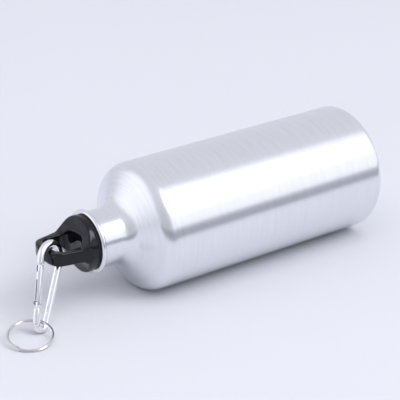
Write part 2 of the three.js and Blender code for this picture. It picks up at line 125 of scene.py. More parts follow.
class Surface:
    """One node tree: a material's, or the surroundings'."""

    def __init__(self, tree: bpy.types.NodeTree) -> None:
        """Takes the tree and empties it, ready for its own nodes."""
        self.tree = tree
        tree.nodes.clear()

    def node(self, kind: str, settings: dict | None = None, inputs: dict | None = None) -> bpy.types.Node:
        """Adds a node.

        Args:
            kind: The node's type.
            settings: Attributes, set first; "stops" gives a ramp's positions and colours.
            inputs: Socket names or numbers, with a value, a signal or a socket for each.

        Returns:
            The new node.
        """
        node = self.tree.nodes.new(kind)
        for name, value in (settings or {}).items():
            if name == "stops":
                self.set_stops(node.color_ramp, value)
            else:
                setattr(node, name, value)
        for name, value in (inputs or {}).items():
            socket = node.inputs[name]
            if isinstance(value, Signal):
                self.tree.links.new(value.socket, socket)
            elif isinstance(value, bpy.types.NodeSocket):
                self.tree.links.new(value, socket)
            else:
                socket.default_value = value
        return node

    @staticmethod
    def set_stops(ramp: bpy.types.ColorRamp, stops: list[tuple[float, Colour]]) -> None:
        """Gives a colour ramp its stops.

        Args:
            ramp: The ramp, with the two stops of a new one.
            stops: Position and colour of each stop, in rising order.
        """
        while len(ramp.elements) < len(stops):
            ramp.elements.new(1.0)
        for element, (position, colour) in zip(ramp.elements, stops):
            element.position = position
            element.color = (*colour, 1.0)

    def coordinates(self, scale: Triple) -> bpy.types.NodeSocket:
        """The piece's own coordinates.

        Args:
            scale: What each axis is multiplied by.

        Returns:
            The scaled coordinates.
        """
        source = self.node("ShaderNodeTexCoord")
        mapping = self.node("ShaderNodeMapping", {}, {"Vector": source.outputs["Object"], "Scale": scale})
        return mapping.outputs["Vector"]

    def noise(self, scale: Triple, detail: float = 2.0, roughness: float = 0.5) -> Signal:
        """Soft noise between 0 and 1.

        Args:
            scale: Cycles per metre along each axis.
            detail: Octaves.
            roughness: Weight of the finer octaves.

        Returns:
            The noise's value.
        """
        inputs = {"Vector": self.coordinates(scale), "Scale": 1.0, "Detail": detail, "Roughness": roughness}
        return Signal(self, self.node("ShaderNodeTexNoise", {}, inputs).outputs["Fac"])

    def bump(self, height: Signal, strength: float, distance: float,
             base: bpy.types.NodeSocket | None = None) -> bpy.types.NodeSocket:
        """A normal that follows a height.

        Args:
            height: The height, between 0 and 1.
            strength: How much of the relief shows.
            distance: The relief's depth, in metres.
            base: Another bump's normal, which this one lies over.

        Returns:
            The new normal.
        """
        inputs = {"Height": height, "Strength": strength, "Distance": distance}
        if base is not None:
            inputs["Normal"] = base
        return self.node("ShaderNodeBump", {}, inputs).outputs["Normal"]

    def step(self, value: Signal, edge: float, soft: float) -> Signal:
        """A smooth rise from 0 to 1.

        Args:
            value: What rises.
            edge: Where it is half way up.
            soft: How far the rise reaches to each side.

        Returns:
            The rise.
        """
        inputs = {"Value": value, "From Min": edge - soft, "From Max": edge + soft}
        node = self.node("ShaderNodeMapRange", {"interpolation_type": "SMOOTHSTEP"}, inputs)
        return Signal(self, node.outputs["Result"])

    def ramp(self, value: Signal, stops: list[tuple[float, Colour]]) -> bpy.types.NodeSocket:
        """A colour for each value, blended between stops."""
        node = self.node("ShaderNodeValToRGB", {"stops": stops}, {"Fac": value})
        return node.outputs["Color"]


def shade_of(colour: Colour, factor: float) -> Colour:
    """The colour made darker or lighter by a factor."""
    return tuple(min(1.0, part * factor) for part in colour)


def new_material(name: str) -> tuple[bpy.types.Material, Surface]:
    """Makes a material without nodes.

    Args:
        name: The material's name.

    Returns:
        The material, and the surface that its nodes are added to.
    """
    material = bpy.data.materials.new(name)
    material.use_nodes = True
    return material, Surface(material.node_tree)


@dataclass(frozen=True)
class Finish:
    """What every finish has: a colour with its mottle, and a roughness with its spread."""

    name: str
    colour: Colour
    roughness: float
    roughness_spread: float
    mottle: float
    metallic: float = 1.0
    ior: float = 1.5
    patch_scale: Triple = (120.0, 120.0, 120.0)
    patch_edges: Pair = (0.3, 0.7)
    grain_scale: Triple = (900.0, 900.0, 900.0)
    grain_strength: float = 0.05
    grain_depth: float = 0.00002

    def build(self) -> bpy.types.Material:
        """Makes the material.

        Returns:
            The finished material, with colour, roughness and relief from its nodes.
        """
        material, surface = new_material(self.name)
        patches = self.patches(surface)
        shades = [shade_of(self.colour, 1 + turn * self.mottle) for turn in (-1, 1)]
        grain = self.grain(surface)
        inputs = {
            "Base Color": surface.ramp(patches, list(zip(self.patch_edges, shades))),
            "Metallic": self.metallic,
            "Roughness": self.roughness + self.roughness_spread * (grain - 0.5),
            "IOR": self.ior,
            "Normal": self.relief(surface, grain),
        }
        shader = surface.node("ShaderNodeBsdfPrincipled", {}, inputs)
        surface.node("ShaderNodeOutputMaterial", {}, {"Surface": shader.outputs["BSDF"]})
        return material

    def patches(self, surface: Surface) -> Signal:
        """Where the colour is a little lighter or darker."""
        return surface.noise(self.patch_scale, detail=3.0)

    def grain(self, surface: Surface) -> Signal:
        """The fine pattern that roughness and relief share."""
        return surface.noise(self.grain_scale, detail=4.0)

    def relief(self, surface: Surface, grain: Signal) -> bpy.types.NodeSocket:
        """The surface's small ups and downs."""
        return surface.bump(grain, self.grain_strength, self.grain_depth)


@dataclass(frozen=True)
class BrushedAluminium(Finish):
    """Satin metal brushed round the bottle, so that its lines run across the X axis."""

    patch_scale: Triple = (1500.0, 45.0, 45.0)
    fine_scale: Triple = (5200.0, 70.0, 70.0)
    broad_scale: Triple = (1100.0, 38.0, 38.0)
    fine_share: float = 0.6
    grain_strength: float = 0.8
    grain_depth: float = 0.00006
    wave_scale: Triple = (28.0, 45.0, 45.0)
    wave_strength: float = 0.12
    wave_depth: float = 0.00009

    def patches(self, surface: Surface) -> Signal:
        """Streaks a few brush lines wide."""
        return surface.noise(self.patch_scale, detail=3.0, roughness=0.65)

    def grain(self, surface: Surface) -> Signal:
        """Mixes fine brushed lines with broader bands.

        Args:
            surface: The material's nodes.

        Returns:
            The mixed pattern.
        """
        fine = surface.noise(self.fine_scale, detail=3.0, roughness=0.6)
        broad = surface.noise(self.broad_scale, detail=2.0, roughness=0.6)
        return self.fine_share * fine + (1 - self.fine_share) * broad

    def relief(self, surface: Surface, grain: Signal) -> bpy.types.NodeSocket:
        """Lays the lines, which spread reflections along the bottle, over the waves of drawn sheet.

        Args:
            surface: The material's nodes.
            grain: The brushed pattern.

        Returns:
            The normal.
        """
        waves = surface.noise(self.wave_scale, detail=1.0)
        base = surface.bump(waves, self.wave_strength, self.wave_depth)
        return surface.bump(grain, self.grain_strength, self.grain_depth, base)


@dataclass(frozen=True)
class MouldedPlastic(Finish):
    """Moulded plastic with a faint ripple and a slightly uneven colour."""

    metallic: float = 0.0
    grain_strength: float = 0.03
    ripple_scale: Triple = (170.0, 170.0, 170.0)
    ripple_strength: float = 0.5
    ripple_depth: float = 0.0006

    def relief(self, surface: Surface, grain: Signal) -> bpy.types.NodeSocket:
        """Lays the grain over the ripple that a mould leaves.

        Args:
            surface: The material's nodes.
            grain: The fine pattern.

        Returns:
            The normal.
        """
        ripple = surface.noise(self.ripple_scale, detail=1.0)
        base = surface.bump(ripple, self.ripple_strength, self.ripple_depth)
        return surface.bump(grain, self.grain_strength, self.grain_depth, base)


@dataclass(frozen=True)
class DrawnWire(Finish):
    """Polished wire or pins with fine lines and tiny handling marks."""

    grain_scale: Triple = (2600.0, 500.0, 500.0)
    dull_scale: Triple = (180.0, 180.0, 260.0)

    def grain(self, surface: Surface) -> Signal:
        """Mixes small marks with duller spots.

        Args:
            surface: The material's nodes.

        Returns:
            The mixed pattern, half of each.
        """
        marks = surface.noise(self.grain_scale, detail=3.0)
        dull = surface.noise(self.dull_scale, detail=2.0)
        return 0.5 * marks + 0.5 * dull


class Slot(Enum):
    """The record's material slots, each with its finish: name, colour, roughness, its spread, mottle."""

    BRUSHED_ALUMINIUM = BrushedAluminium("brushed_aluminium", (0.8, 0.815, 0.845), 0.2, 0.13, 0.035)
    POLISHED_ALUMINIUM = DrawnWire("polished_aluminium", (0.9, 0.905, 0.915), 0.1, 0.06, 0.02)
    BLACK_PLASTIC = MouldedPlastic("black_plastic", (0.003, 0.003, 0.005), 0.06, 0.05, 0.2, ior=1.4)
    GREY_PLASTIC = MouldedPlastic("grey_plastic", (0.045, 0.047, 0.052), 0.38, 0.1, 0.1)
    DARK_SILICONE = MouldedPlastic("dark_silicone", (0.02, 0.02, 0.022), 0.55, 0.1, 0.15, ior=1.42)
    PIN_STEEL = DrawnWire("pin_steel", (0.62, 0.63, 0.65), 0.26, 0.1, 0.05)
    SPRING_STEEL = DrawnWire("spring_steel", (0.5, 0.51, 0.53), 0.3, 0.1, 0.06)
    NICKEL_PLATE = DrawnWire("nickel_plate", (0.68, 0.67, 0.66), 0.09, 0.08, 0.08)


@functools.cache
def material_for(slot: Slot) -> bpy.types.Material:
    """The slot's material, made the first time it is asked for."""
    return slot.value.build()


# ---------------------------------------------------------------- shapes

@dataclass(frozen=True)
class Seat:
    """Where a piece drawn in millimetres sits in the shared frame, which is in metres."""

    origin: Vector
    x: Vector
    y: Vector
    z: Vector

    def matrix(self) -> Matrix:
        """The turn, the scale to metres and the move, as one matrix."""
        turn = Matrix((self.x, self.y, self.z)).transposed().to_4x4()
        return Matrix.Translation(self.origin) @ turn @ Matrix.Scale(MM, 4)

    def along(self, distance: float) -> "Seat":
        """The same seat moved along its own Z by millimetres."""
        return Seat(self.origin + self.z * (distance * MM), self.x, self.y, self.z)


def arc(centre: Pair, radius: float, start: float, end: float, steps: int) -> Outline:
    """Points round part of a circle.

    Args:
        centre: Circle's centre.
        radius: Circle's radius.
        start: First angle, in degrees.
        end: Last angle, in degrees.
        steps: Number of chords.

    Returns:
        The points, both ends included.
    """
    angles = [math.radians(start + (end - start) * i / steps) for i in range(steps + 1)]
    return [(centre[0] + radius * math.cos(a), centre[1] + radius * math.sin(a)) for a in angles]


def bezier(points: list[Pair], steps: int) -> Outline:
    """Points on a Bezier curve of any order.

    Args:
        points: The curve's ends, with its control points between them.
        steps: Number of chords.

    Returns:
        The points, both ends included.
    """
    curve = []
    for i in range(steps + 1):
        share = i / steps
        row = [Vector(point) for point in points]
        while len(row) > 1:
            row = [a.lerp(b, share) for a, b in zip(row, row[1:])]
        curve.append(tuple(row[0]))
    return curve


def rounded(corners: list[Triple], steps: int = 6) -> Outline:
    """An outline whose corners are rounded.

    Args:
        corners: Place and rounding radius of each corner; 0 leaves it sharp.
        steps: Chords in each rounding.

    Returns:
        The outline's points.
    """
    outline: Outline = []
    count = len(corners)
    for i, (x, y, radius) in enumerate(corners):
        here = Vector((x, y))
        if radius == 0:
            outline.append((x, y))
            continue
        before = (Vector(corners[i - 1][:2]) - here).normalized()
        after = (Vector(corners[(i + 1) % count][:2]) - here).normalized()
        half = before.angle(after) / 2
        reach = radius / math.tan(half)
        start, end = here + before * reach, here + after * reach
        centre = here + (before + after).normalized() * (radius / math.sin(half))
        for k in range(steps + 1):
            ray = (start - centre).lerp(end - centre, k / steps).normalized()
            outline.append(tuple(centre + ray * radius))
    return outline


def of_kind(items: Iterable, kind: type) -> list:
    """The vertices, edges or faces among what an operator made."""
    return [item for item in items if isinstance(item, kind)]


def turned(outline: Outline, steps: int, closed: bool = False) -> bmesh.types.BMesh:
    """A solid of revolution about Z.

    Args:
        outline: Radius and height of each point.
        steps: Steps of the full turn.
        closed: Whether the outline closes on itself instead of ending on the axis.

    Returns:
        The new mesh.
    """
    mesh = bmesh.new()
    points = [mesh.verts.new((radius, 0.0, height)) for radius, height in outline]
    pairs = list(zip(points, points[1:])) + ([(points[-1], points[0])] if closed else [])
    edges = [mesh.edges.new(pair) for pair in pairs]
    bmesh.ops.spin(mesh, geom=points + edges, cent=(0, 0, 0), axis=(0, 0, 1), dvec=(0, 0, 0),
                   angle=2 * math.pi, steps=steps, use_merge=True)
    bmesh.ops.remove_doubles(mesh, verts=mesh.verts, dist=DOUBLES)
    bmesh.ops.recalc_face_normals(mesh, faces=mesh.faces)
    return mesh


def round_bar(radius: float, low: float, high: float, steps: int,
              rounding: Pair = (0.0, 0.0), corner_steps: int = 4) -> bmesh.types.BMesh:
    """A round bar about Z.

    Args:
        radius: The bar's radius.
        low: Height of its lower end.
        high: Height of its upper end.
        steps: Steps of the full turn.
        rounding: Rounding radius of the lower edge and of the upper one.
        corner_steps: Chords in each rounding.

    Returns:
        The new mesh.
    """
    corners = [(0.0, low, 0.0), (radius, low, rounding[0]), (radius, high, rounding[1]), (0.0, high, 0.0)]
    return turned(rounded(corners, corner_steps), steps)


def coil(section: Outline, radius: float, start: float, pitch: float, turns: float,
         steps_per_turn: int) -> bmesh.types.BMesh:
    """A section swept along a helix about Z.

    Args:
        section: Outline of the section, as offsets from the helix: outwards and along Z.
        radius: The helix's radius.
        start: Height where it begins.
        pitch: Rise of one turn.
        turns: Number of turns.
        steps_per_turn: Steps of one turn.

    Returns:
        The new mesh, closed at both ends.
    """
    mesh = bmesh.new()
    ring = [mesh.verts.new((radius + out, 0.0, start + up)) for out, up in section]
    first = mesh.faces.new(ring)
    steps = round(steps_per_turn * turns)
    swept = bmesh.ops.spin(mesh, geom=ring + list(first.edges), cent=(0, 0, 0), axis=(0, 0, 1),
                           dvec=(0, 0, pitch * turns / steps), angle=2 * math.pi * turns, steps=steps)
    bmesh.ops.contextual_create(mesh, geom=of_kind(swept["geom_last"], bmesh.types.BMEdge))
    bmesh.ops.recalc_face_normals(mesh, faces=mesh.faces)
    return mesh


def round_section(radius: float, steps: int) -> Outline:
    """A full circle's points, the first not repeated."""
    return arc((0.0, 0.0), radius, 0.0, 360.0, steps)[:-1]


def prism(outline: Outline, axes: tuple[int, int], half_depth: float) -> bmesh.types.BMesh:
    """An outline drawn on two axes, given depth along the third.

    Args:
        outline: The outline's points.
        axes: The axes that the outline's two numbers are on.
        half_depth: Depth to each side.

    Returns:
        The new mesh.
    """
    mesh = bmesh.new()
    depth_axis = 3 - axes[0] - axes[1]
    corners = []
    for first, second in outline:
        place = [0.0, 0.0, 0.0]
        place[axes[0]], place[axes[1]], place[depth_axis] = first, second, -half_depth
        corners.append(mesh.verts.new(place))
    face = mesh.faces.new(corners)
    grown = bmesh.ops.extrude_face_region(mesh, geom=[face])
    step = Vector((0.0, 0.0, 0.0))
    step[depth_axis] = 2 * half_depth
    bmesh.ops.translate(mesh, verts=of_kind(grown["geom"], bmesh.types.BMVert), vec=step)
    bmesh.ops.recalc_face_normals(mesh, faces=mesh.faces)
    return mesh


def bevelled(mesh: bmesh.types.BMesh, edges: Iterable[bmesh.types.BMEdge], width: float,
             segments: int = 2) -> bmesh.types.BMesh:
    """Rounds some of a mesh's edges.

    Args:
        mesh: The mesh.
        edges: The edges to round.
        width: Width of the rounding.
        segments: Faces across the rounding.

    Returns:
        The same mesh.
    """
    bmesh.ops.bevel(mesh, geom=list(edges), offset=width, segments=segments, profile=0.5,
                    affect="EDGES", material=-1, clamp_overlap=True)
    return mesh


def mesh_data(name: str, mesh: bmesh.types.BMesh) -> bpy.types.Mesh:
    """Turns a drawn mesh into mesh data, and frees it.

    Args:
        name: Name of the data.
        mesh: The drawn mesh.

    Returns:
        The new data.
    """
    data = bpy.data.meshes.new(name)
    mesh.to_mesh(data)
    mesh.free()
    return data


def placed(name: str, data: bpy.types.ID) -> bpy.types.Object:
    """Puts data in the scene.

    Args:
        name: Name of the object.
        data: Its mesh, light or camera.

    Returns:
        The new object.
    """
    made = bpy.data.objects.new(name, data)
    bpy.context.scene.collection.objects.link(made)
    return made


def joined(meshes: Iterable[bmesh.types.BMesh]) -> bmesh.types.BMesh:
    """Several meshes as one.

    Args:
        meshes: The meshes, each left as it is.

    Returns:
        The one mesh.
    """
    whole = bmesh.new()
    for part in meshes:
        scratch = mesh_data("scratch", part)
        whole.from_mesh(scratch)
        bpy.data.meshes.remove(scratch)
    return whole


class Cut(Enum):
    """How a tool acts on a blank."""

    AWAY = "DIFFERENCE"
    COMMON = "INTERSECT"


def worked(blank: bmesh.types.BMesh, tools: list[tuple[Cut, bmesh.types.BMesh]],
           skin: float = 0.0) -> bmesh.types.BMesh:
    """A blank cut by tools, one after the other.

    Args:
        blank: The mesh to work on.
        tools: How each tool acts, and its mesh.
        skin: Size of the even faces that the surface is rebuilt from; 0 leaves it as cut.

    Returns:
        The finished mesh.
    """
    piece = placed("blank", mesh_data("blank", blank))
    helpers = []
    for cut, tool in tools:
        helper = placed("tool", mesh_data("tool", tool))
        helpers.append(helper)
        modifier = piece.modifiers.new("cut", "BOOLEAN")
        modifier.operation = cut.value
        modifier.solver = "EXACT"
        modifier.object = helper
    if skin > 0:
        modifier = piece.modifiers.new("skin", "REMESH")
        modifier.mode = "VOXEL"
        modifier.voxel_size = skin
    bpy.context.view_layer.update()
    graph = bpy.context.evaluated_depsgraph_get()
    shaped = bpy.data.meshes.new_from_object(piece.evaluated_get(graph))
    result = bmesh.new()
    result.from_mesh(shaped)
    bpy.data.meshes.remove(shaped)
    for used in [piece, *helpers]:
        data = used.data
        bpy.data.objects.remove(used)
        bpy.data.meshes.remove(data)
    return result


def relaxed(mesh: bmesh.types.BMesh, passes: int, above: float = -math.inf) -> bmesh.types.BMesh:
    """Softens edges and evens the skin out.

    Args:
        mesh: The mesh.
        passes: How often each vertex moves half way to its neighbours' middle.
        above: Height above which vertices move.

    Returns:
        The same mesh.
    """
    moved = [corner for corner in mesh.verts if corner.co.z > above]
    for _ in range(passes):
        bmesh.ops.smooth_vert(mesh, verts=moved, factor=0.5,
                              use_axis_x=True, use_axis_y=True, use_axis_z=True)
    return mesh


class RodBender:
    """Draws a round rod in the XY plane by straight runs and bends, from one end to the other."""

    def __init__(self, start: Vector, direction: Vector, radius: float, sides: int) -> None:
        """Begins the rod.

        Args:
            start: Centre of the rod's first end.
            direction: The way the rod sets off.
            radius: The rod's radius.
            sides: Sides of the rod's section.
        """
        self.mesh = bmesh.new()
        turn = direction.to_track_quat("Z", "X").to_matrix().to_4x4()
        bmesh.ops.create_circle(self.mesh, cap_ends=False, segments=sides, radius=radius,
                                matrix=Matrix.Translation(start) @ turn)
        self.first = list(self.mesh.edges)
        self.front = list(self.mesh.edges)

    def straight(self, step: Vector, pieces: int = 1) -> None:
        """Goes on in a straight line.

        Args:
            step: From where the rod is to where it goes.
            pieces: Number of lengths that the run is made of.
        """
        for _ in range(pieces):
            grown = bmesh.ops.extrude_edge_only(self.mesh, edges=self.front)["geom"]
            moved = of_kind(grown, bmesh.types.BMVert)
            bmesh.ops.translate(self.mesh, verts=moved, vec=step / pieces)
            self.front = of_kind(grown, bmesh.types.BMEdge)

    def bend(self, centre: Vector, angle: float, steps: int) -> None:
        """Goes on round a centre.

        Args:
            centre: The bend's centre.
            angle: Angle about Z, in radians.
            steps: Steps of the bend.
        """
        corners = list(dict.fromkeys(corner for edge in self.front for corner in edge.verts))
        swept = bmesh.ops.spin(self.mesh, geom=corners + self.front, cent=centre, axis=(0, 0, 1),
                               dvec=(0, 0, 0), angle=angle, steps=steps)
        self.front = of_kind(swept["geom_last"], bmesh.types.BMEdge)

    def finished(self, end_rounding: float) -> bmesh.types.BMesh:
        """Closes and rounds both ends.

        Args:
            end_rounding: Width of the rounding.

        Returns:
            The closed mesh.
        """
        for loop in (self.first, self.front):
            bmesh.ops.contextual_create(self.mesh, geom=loop)
        bmesh.ops.recalc_face_normals(self.mesh, faces=self.mesh.faces)
        return bevelled(self.mesh, self.first + self.front, end_rounding, segments=3)


@dataclass(frozen=True)
class Maker:
    """Turns a drawn mesh into a named piece of the canteen."""

    sharp_angle: float = 38.0

    def make(self, name: str, mesh: bmesh.types.BMesh, seat: Seat, slot: Slot, body: str,
             stands_for: str) -> bpy.types.Object:
        """Seats a mesh, dresses it and hangs it on its body.

        Args:
            name: The piece's name.
            mesh: Its mesh, in millimetres.
            seat: Where it goes.
            slot: The slot whose finish it gets.
            body: The body that carries it.
            stands_for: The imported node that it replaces.

        Returns:
            The new object.
        """
        bmesh.ops.transform(mesh, matrix=seat.matrix(), verts=mesh.verts)
        data = mesh_data(name, mesh)
        data.polygons.foreach_set("use_smooth", [True] * len(data.polygons))
        data.set_sharp_from_angle(angle=math.radians(self.sharp_angle))
        data.materials.append(material_for(slot))
        piece = placed(name, data)
        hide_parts(stands_for)
        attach(piece, body)
        LOG.info("%s: %d faces on %s", name, len(data.polygons), body)
        return piece


MAKER = Maker()


def joint_named(name: str) -> dict:
    """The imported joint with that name."""
    return next(joint for joint in frame["joints"] if joint["name"] == name)


# ---------------------------------------------------------------- bottle

@dataclass
class Thread:
    """The screw thread that the neck and the plug share."""

    pitch: float = 4.0
    ridge: float = 1.0
    neck_turns: float = 1.75
    plug_turns: float = 2.0
    steps_per_turn: int = 64


@dataclass
class Bottle:
    """The drawn and necked aluminium bottle, with its axis along Z from the base."""

    radius: float = 36.5
    length: float = 147.0
    wall: float = 0.8
    base_corner: float = 4.2
    base_ring: float = 2.6
    recess_depth: float = 2.5
    recess_run: float = 4.0
    recess_rounding: float = 1.2
    shoulder_radius: float = 9.2
    shoulder_sweep: float = 60.5
    fillet_radius: float = 9.0
    neck_radius: float = 16.0
    neck_wall: float = 2.2
    neck_length: float = 14.2
    taper_length: float = 3.0
    lip_radius: float = 1.5
    lip_overhang: float = 2.0
    mouth_chamfer: float = 0.8
    steps: int = 192
    thread: Thread = field(default_factory=Thread)

    def __post_init__(self) -> None:
        """Works out the heights and radii that follow from the sizes."""
        sweep = math.radians(self.shoulder_sweep)
        shoulder_end = self.radius - self.shoulder_radius * (1 - math.cos(sweep))
        fillet_start = self.neck_radius + self.fillet_radius * (1 - math.cos(sweep))
        cone = (shoulder_end - fillet_start) / math.tan(sweep)
        bends = (self.shoulder_radius + self.fillet_radius) * math.sin(sweep)
        self.neck_start = self.length + bends + cone
        self.lip_top = self.neck_start + self.neck_length
        self.bore = self.neck_radius - self.neck_wall
        turns_height = self.thread.pitch * self.thread.neck_turns
        self.thread_start = self.lip_top - self.mouth_chamfer - self.thread.ridge - turns_height
        self.ring_outer = self.radius - self.base_corner
        self.ring_inner = self.ring_outer - self.base_ring
        self.recess = self.ring_inner - self.recess_run
        self.fillet = self.neck_radius + self.fillet_radius

    def seat(self) -> Seat:
        """Finds where the bottle lies.

        Returns:
            The base's centre, with Z towards the cap and X up.
        """
        low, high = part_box("bottle_shell")
        origin = Vector((high.x, (low.y + high.y) / 2, (low.z + high.z) / 2))
        return Seat(origin, Vector((0, 0, 1)), Vector((0, 1, 0)), Vector((-1, 0, 0)))

    def outside(self) -> Outline:
        """Draws the outer profile.

        Returns:
            Its points, from the middle of the base to the top of the lip.
        """
        lip_centre = self.neck_radius + self.lip_overhang - self.lip_radius
        lip_from = -math.degrees(math.acos((self.neck_radius - lip_centre) / self.lip_radius))
        soft = self.recess_rounding
        return [
            *rounded([(0.0, self.recess_depth, 0), (self.recess, self.recess_depth, soft),
                      (self.ring_inner, 0.0, soft / 2), (self.ring_outer, 0.0, 0)])[:-1],
            *arc((self.ring_outer, self.base_corner), self.base_corner, -90, 0, steps=12),
            *arc((self.radius - self.shoulder_radius, self.length), self.shoulder_radius, 0,
                 self.shoulder_sweep, steps=18),
            *arc((self.fillet, self.neck_start), self.fillet_radius, 180 + self.shoulder_sweep, 180,
                 steps=16),
            *arc((lip_centre, self.lip_top - self.lip_radius), self.lip_radius, lip_from, 90, steps=16),
        ]

    def inside(self) -> Outline:
        """Draws the inner profile.

        Returns:
            Its points, from the mouth down to the middle of the base.
        """
        return [
            (self.bore + self.mouth_chamfer, self.lip_top),
            (self.bore, self.lip_top - self.mouth_chamfer),
            (self.bore, self.neck_start + self.taper_length),
            *arc((self.fillet, self.neck_start), self.fillet_radius + self.wall, 180,
                 180 + self.shoulder_sweep, steps=12),
            *arc((self.radius - self.shoulder_radius, self.length), self.shoulder_radius - self.wall,
                 self.shoulder_sweep, 0, steps=12),
            *arc((self.ring_outer, self.base_corner), self.base_corner - self.wall, 0, -90, steps=6),
            (self.ring_inner, self.wall),
            (self.recess, self.recess_depth + self.wall),
            (0.0, self.recess_depth + self.wall),
        ]

    def build(self) -> None:
        """Makes the shell with its inside thread."""
        shell = turned(self.outside() + self.inside(), self.steps)
        ridge = coil(round_section(self.thread.ridge, steps=14), self.bore, self.thread_start,
                     self.thread.pitch, self.thread.neck_turns, self.thread.steps_per_turn)
        MAKER.make("bottle", joined([shell, ridge]), self.seat(), Slot.BRUSHED_ALUMINIUM, "bottle",
                   "bottle_shell")


# ---------------------------------------------------------------- closure

@dataclass
class Closure:
    """The screw cap: shell with carry loop, threaded plug and gasket, with heights from the flange face."""

    bottle: Bottle
    gap: float = 0.3
    gasket_thickness: float = 0.7
    gasket_inset: float = 0.4
    gasket_rounding: float = 0.2
    spare: float = 1.0
    plug_wall: float = 2.0
    plug_rounding: float = 0.3
    plug_end_rounding: float = 0.5
    plug_ceiling: float = 0.4
    thread_fit: float = 0.98
    plug_flange: float = 1.6
    plug_lead: float = 0.6
    key_count: int = 4
    key_size: Triple = (4.0, 2.0, 1.2)
    key_radius: float = 9.0
    key_sink: float = 0.05
    key_rounding: float = 0.15
    radius: float = 16.0
    wall: float = 1.5
    length: float = 26.4
    rim_rounding: float = 0.45
    flare_start: float = 3.0
    flare_bend: Pair = (4.5, 4.0)
    flare_end: float = 9.6
    loop_thickness: float = 7.7
    loop_edge: float = 2.4
    loop_half_width: float = 12.4
    loop_tip_reach: float = 6.1
    tip_bend: Pair = (0.62, 0.05)
    tip_flat: float = 0.57
    tip_bar: float = 5.1
    window_start: float = 5.0
    window_half_width: float = 9.6
    window_corner: float = 4.5
    skin: float = 0.24
    rim_softening: int = 6
    loop_softening: int = 50

    def __post_init__(self) -> None:
        """Works out where the flange face is, and the plug's radius."""
        self.gasket_start = self.bottle.lip_top + self.gap
        self.flange_face = self.gasket_start + self.gasket_thickness + self.gap
        self.plug_radius = self.bottle.bore - self.bottle.thread.ridge - self.gap

    def side(self) -> Outline:
        """Draws the cap from the side, as a round collar that falls to the flat loop.

        Returns:
            The outline, as distance along the axis and height.
        """
        half = self.loop_thickness / 2
        shoulder = (self.flare_start, self.radius)
        foot = (self.flare_end, half)
        edge = (self.length - self.loop_edge, half - self.loop_edge)
        upper = [
            (-self.spare, self.radius + self.spare), (self.flare_start, self.radius + self.spare),
            *bezier([shoulder, self.flare_bend, foot], steps=16),
            *arc(edge, self.loop_edge, 90, 0, steps=8),
        ]
        return upper + [(along, -up) for along, up in reversed(upper)]

    def plan(self) -> Outline:
        """Draws the cap from above, as tapering arms that meet in a rounded tip.

        Returns:
            The outline, as distance along the axis and across it.
        """
        half, reach = self.loop_half_width, self.loop_tip_reach
        corner = self.length - reach
        bend = (corner + self.tip_bend[0] * reach, half - self.tip_bend[1] * reach)
        right = [
            (-self.spare, self.radius + self.spare), (self.flare_start, self.radius + self.spare),
            (self.flare_start, self.radius),
            *bezier([(corner, half), bend, (self.length, self.tip_flat * half), (self.length, 0.0)],
                    steps=18),
        ]
        return right + [(along, -across) for along, across in reversed(right[:-1])]

    def window(self) -> Outline:
        """Draws the opening that the carabiner passes through.

        Returns:
            The outline, as distance along the axis and across it.
        """
        near, far = self.window_start, self.length - self.tip_bar
        half, corner = self.window_half_width, self.window_corner
        return rounded([(near, -half, corner), (near, half, corner), (far, half, corner),
                        (far, -half, corner)], steps=8)

    def shell(self) -> bmesh.types.BMesh:
        """Cuts the cap's outer shell from a round blank.

        Returns:
            The softened shell.
        """
        rim = self.rim_rounding
        blank = turned([(0.0, 0.0), *arc((self.radius - rim, rim), rim, -90, 0, steps=4),
                        (self.radius, self.length), (0.0, self.length)], steps=160)
        depth = self.plug_flange + self.gap
        inner = self.radius - self.wall
        recess = round_bar(inner, -self.spare, depth, steps=128)
        reach = self.radius + 2 * self.spare
        tools = [
            (Cut.COMMON, prism(self.side(), (2, 0), reach)),
            (Cut.COMMON, prism(self.plan(), (2, 1), reach)),
            (Cut.AWAY, prism(self.window(), (2, 1), reach)),
            (Cut.AWAY, recess),
        ]
        cap = relaxed(worked(blank, tools, self.skin), self.rim_softening)
        return relaxed(cap, self.loop_softening, self.flare_start / 2)

    def plug(self) -> bmesh.types.BMesh:
        """Turns the hollow plug and adds its thread and drive keys.

        Returns:
            The plug.
        """
        thread, radius, top = self.bottle.thread, self.plug_radius, self.plug_flange
        flange = self.radius - self.wall - self.gap
        inner = radius - self.plug_wall
        thread_start = self.bottle.thread_start - thread.pitch / 2 - self.flange_face
        bottom = thread_start - thread.ridge - self.plug_lead
        soft, end = self.plug_rounding, self.plug_end_rounding
        profile = rounded([
            (0.0, top, 0), (flange, top, soft), (flange, 0.0, self.gasket_rounding), (radius, 0.0, soft),
            (radius, bottom, end), (inner, bottom, end), (inner, -self.plug_ceiling, end),
            (0.0, -self.plug_ceiling, 0),
        ], steps=3)
        section = round_section(thread.ridge * self.thread_fit, steps=12)
        ridge = coil(section, radius, thread_start, thread.pitch, thread.plug_turns, thread.steps_per_turn)
        return joined([turned(profile, steps=128), ridge, *self.keys()])

    def keys(self) -> list[bmesh.types.BMesh]:
        """Makes the drive keys on the plug's flange.

        Returns:
            One mesh for each key.
        """
        keys = []
        length, width, height = self.key_size
        for index in range(self.key_count):
            key = bmesh.new()
            turn = Matrix.Rotation((index + 0.5) * 2 * math.pi / self.key_count, 4, "Z")
            middle = (self.key_radius, 0.0, self.plug_flange + height / 2 - self.key_sink)
            place = turn @ Matrix.Translation(middle) @ Matrix.Diagonal((length, width, height, 1))
            bmesh.ops.create_cube(key, size=1.0, matrix=place)
            keys.append(bevelled(key, key.edges, self.key_rounding))
        return keys

